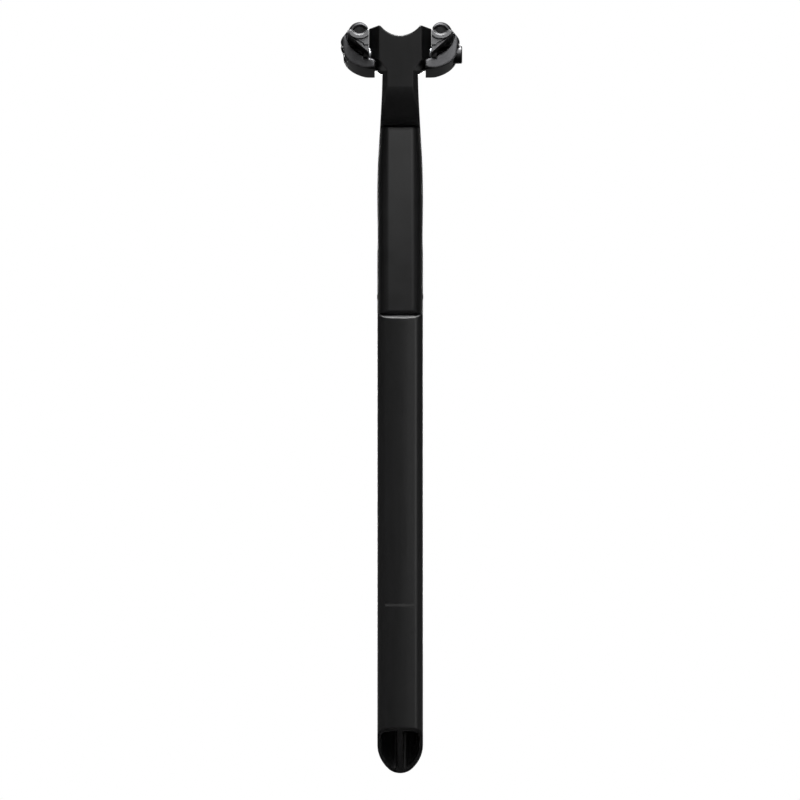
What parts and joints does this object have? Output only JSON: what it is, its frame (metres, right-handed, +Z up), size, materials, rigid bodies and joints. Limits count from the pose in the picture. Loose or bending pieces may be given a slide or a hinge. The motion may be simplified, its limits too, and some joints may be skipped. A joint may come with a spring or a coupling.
{
  "type": "bicycle seatpost",
  "caption": "D-shaped carbon bicycle seatpost with a flexing leaf, a soft rear filler and a swept-back head whose single cross bolt clamps the saddle rails.",
  "frame": {"origin": "on the tube's axis at the mark for the least insertion, about 93 mm above the lower tip", "axes": "+Z up along the tube, the nearly flat rear of the tube faces -Y, +X to the right seen from behind, where the bolt's head is"},
  "size_m": [0.0658, 0.0493, 0.4083],
  "materials": {
    "carbon": "black carbon composite under a satin clear coat",
    "filler": "smooth satin elastomer",
    "bush": "turned",
    "cradle": "grey anodised, bead-blasted",
    "jaw": "black anodised, satin",
    "steel": "plain",
    "bolt": "black oxide"
  },
  "bodies": {
    "post_body": {"post": "carbon", "rear_insert": "filler", "head_sleeve": "bush"},
    "cradle_set": {"cradle_left": "cradle", "cradle_right": "cradle"},
    "right_jaw": {"jaw_right": "jaw", "bolt_washer": "steel"},
    "left_jaw": {"jaw_left": "jaw", "clamp_nut": "steel"},
    "bolt": {"clamp_bolt": "bolt"}
  },
  "joints": [
    {"name": "clamp_tilt", "type": "hinge", "parent": "post_body", "child": "cradle_set", "pos_m": [0, -0.019, 0.298], "axis": [1, 0, 0], "range_deg": [-15, 15]},
    {"name": "jaw_right_open", "type": "slide", "parent": "cradle_set", "child": "right_jaw", "axis": [1, 0, 0], "range_m": [0, 0.003]},
    {"name": "jaw_left_open", "type": "slide", "parent": "cradle_set", "child": "left_jaw", "axis": [-1, 0, 0], "range_m": [0, 0.003]},
    {"name": "bolt_turn", "type": "hinge", "parent": "right_jaw", "child": "bolt", "pos_m": [0, -0.019, 0.298], "axis": [1, 0, 0], "range_deg": [0, 2160]}
  ],
  "couplings": [
    {"joint": "jaw_left_open", "follows": "jaw_right_open", "ratio": 1},
    {"joint": "bolt_turn", "follows": "jaw_right_open", "rad_per_m": 12566}
  ]
}
